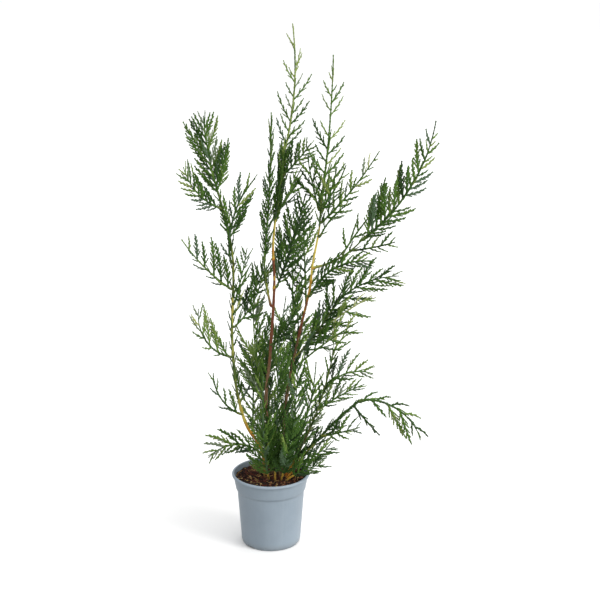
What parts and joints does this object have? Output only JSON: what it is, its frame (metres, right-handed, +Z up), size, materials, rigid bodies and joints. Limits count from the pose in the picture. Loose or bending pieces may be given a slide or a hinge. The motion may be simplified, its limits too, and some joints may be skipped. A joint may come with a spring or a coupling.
{
  "type": "potted leyland cypress",
  "caption": "Young leyland cypress with three slim upright stems and feathery flattened sprays of scale leaves, growing in a round tapered plastic nursery pot.",
  "frame": {"origin": "centre of the pot's flat underside, which stands on the ground", "axes": "+Z up along the stems, +X to the plant's right as it is seen from the front, +Y to its back"},
  "size_m": [0.2822, 0.1782, 0.6071],
  "materials": {
    "pot_plastic": "satin blue-grey moulded plastic",
    "compost": "moist crumbly compost",
    "bark": "thin smooth young bark",
    "foliage": "waxy scale leaves"
  },
  "bodies": {
    "root": {"arm_lower": "foliage", "arm_upper": "foliage", "back_base": "foliage", "back_high": "foliage", "back_low_left": "foliage", "back_low_right": "foliage", "back_mid": "foliage", "back_mid_left": "foliage", "back_mid_right": "foliage", "basal_left": "foliage", "broad_bough": "bark", "broad_spray": "foliage", "broad_spray_foot": "foliage", "broad_spray_low": "foliage", "center_left": "foliage", "center_low": "foliage", "center_right": "foliage", "companion": "foliage", "companion_bough": "bark", "compost": "compost", "droop_bough": "bark", "droop_spray": "foliage", "front_center": "foliage", "front_left": "foliage", "front_mid": "foliage", "front_right": "foliage", "inner_high": "foliage", "inner_mid": "foliage", "inner_right": "foliage", "leader_mid": "foliage", "leader_right": "foliage", "leader_stem": "bark", "leader_tip": "foliage", "left_fork": "foliage", "left_high": "foliage", "left_low": "foliage", "left_mid": "foliage", "left_stem": "bark", "left_tuft": "foliage", "left_tuft_low": "foliage", "long_bough": "bark", "long_bough_lower": "foliage", "long_bough_tip": "foliage", "long_bough_upper": "foliage", "low_foot": "foliage", "low_right": "foliage", "low_skirt": "foliage", "plume": "foliage", "pot": "pot_plastic", "right_dense": "foliage", "right_fork": "foliage", "right_mid": "foliage", "right_stem": "bark", "right_tip": "foliage", "rise_bough": "bark", "rise_low": "foliage", "rise_mid": "foliage", "rise_tip": "foliage", "under_bough": "foliage"}
  },
  "joints": []
}
